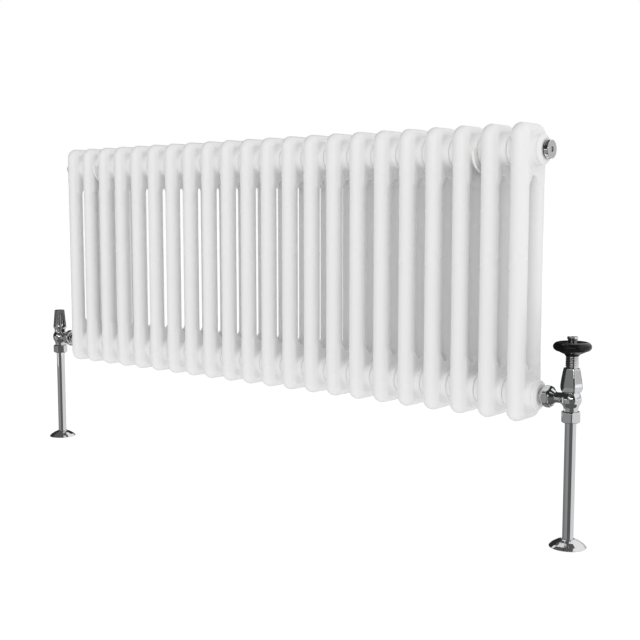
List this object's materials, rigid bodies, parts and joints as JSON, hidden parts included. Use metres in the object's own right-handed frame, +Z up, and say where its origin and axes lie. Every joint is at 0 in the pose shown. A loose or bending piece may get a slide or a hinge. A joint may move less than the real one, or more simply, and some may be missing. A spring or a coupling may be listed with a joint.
{
  "type": "column radiator",
  "caption": "Wall-hung column radiator with an angled thermostatic valve and black handwheel at one end, a capped lockshield valve at the other, and pipes down to floor collars.",
  "frame": {"origin": "on the finished wall and the finished floor, at the middle of the radiator's body", "axes": "+X along the radiator towards the thermostatic valve, +Y into the wall, +Z up"},
  "size_m": [1.1534, 0.0934, 0.564],
  "materials": {
    "white_enamel": "gloss",
    "bracket_enamel": "satin",
    "chrome": "polished",
    "brass": "machined",
    "steel": "machined",
    "black_gloss": "gloss",
    "seal_rubber": "matt"
  },
  "bodies": {
    "radiator": {"air_vent_plug": "chrome", "blanking_plug": "chrome", "end_boss_bottom_left": "white_enamel", "end_boss_bottom_right": "white_enamel", "end_boss_top_left": "white_enamel", "end_boss_top_right": "white_enamel", "left_pipe": "chrome", "lockshield_body": "chrome", "lockshield_compression_nut": "chrome", "lockshield_gland_nut": "brass", "lockshield_olive": "brass", "lockshield_tail": "chrome", "lockshield_union_nut": "chrome", "plug_seal_left": "seal_rubber", "plug_seal_right": "seal_rubber", "right_pipe": "chrome", "section_01": "white_enamel", "section_02": "white_enamel", "section_03": "white_enamel", "section_04": "white_enamel", "section_05": "white_enamel", "section_06": "white_enamel", "section_07": "white_enamel", "section_08": "white_enamel", "section_09": "white_enamel", "section_10": "white_enamel", "section_11": "white_enamel", "section_12": "white_enamel", "section_13": "white_enamel", "section_14": "white_enamel", "section_15": "white_enamel", "section_16": "white_enamel", "section_17": "white_enamel", "section_18": "white_enamel", "section_19": "white_enamel", "section_20": "white_enamel", "section_21": "white_enamel", "section_22": "white_enamel", "trv_body": "chrome", "trv_compression_nut": "chrome", "trv_head_shell": "chrome", "trv_insert": "brass", "trv_neck": "chrome", "trv_olive": "brass", "trv_spring": "steel", "trv_tail": "chrome", "trv_union_nut": "chrome", "wall_bracket_left": "bracket_enamel", "wall_bracket_right": "bracket_enamel"},
    "handwheel": {"trv_wheel": "black_gloss", "trv_wheel_cap": "chrome", "trv_head_stem": "steel"},
    "sensor_and_spindle": {"trv_sensor": "brass", "trv_spindle": "steel"},
    "lockshield_cap": {"lockshield_cap": "chrome"},
    "lockshield_spindle": {"lockshield_spindle": "brass"},
    "bleed_screw": {"bleed_screw": "brass"},
    "left_floor_collar": {"left_floor_collar": "chrome"},
    "right_floor_collar": {"right_floor_collar": "chrome"}
  },
  "joints": [
    {"name": "handwheel_turn", "type": "hinge", "parent": "radiator", "child": "handwheel", "pos_m": [0.5432, -0.06, 0.269], "axis": [0, 0, 1], "range_deg": [0, 300]},
    {"name": "sensor_lift", "type": "slide", "parent": "radiator", "child": "sensor_and_spindle", "axis": [0, 0, 1], "range_m": [0, 0.003], "deforming": ["trv_spring"]},
    {"name": "lockshield_cap_lift", "type": "slide", "parent": "radiator", "child": "lockshield_cap", "axis": [0, 0, 1], "range_m": [0, 0.045]},
    {"name": "lockshield_spindle_turn", "type": "hinge", "parent": "radiator", "child": "lockshield_spindle", "pos_m": [-0.56, -0.06, 0.2], "axis": [0, 0, 1], "range_deg": [0, 720]},
    {"name": "bleed_screw_turn", "type": "hinge", "parent": "radiator", "child": "bleed_screw", "pos_m": [0.5, -0.06, 0.528], "axis": [1, 0, 0], "range_deg": [0, 360]},
    {"name": "left_floor_collar_lift", "type": "slide", "parent": "radiator", "child": "left_floor_collar", "axis": [0, 0, 1], "range_m": [0, 0.12]},
    {"name": "right_floor_collar_lift", "type": "slide", "parent": "radiator", "child": "right_floor_collar", "axis": [0, 0, 1], "range_m": [0, 0.12]}
  ],
  "couplings": [
    {"joint": "sensor_lift", "follows": "handwheel_turn", "m_per_rad": 0.00057296}
  ]
}
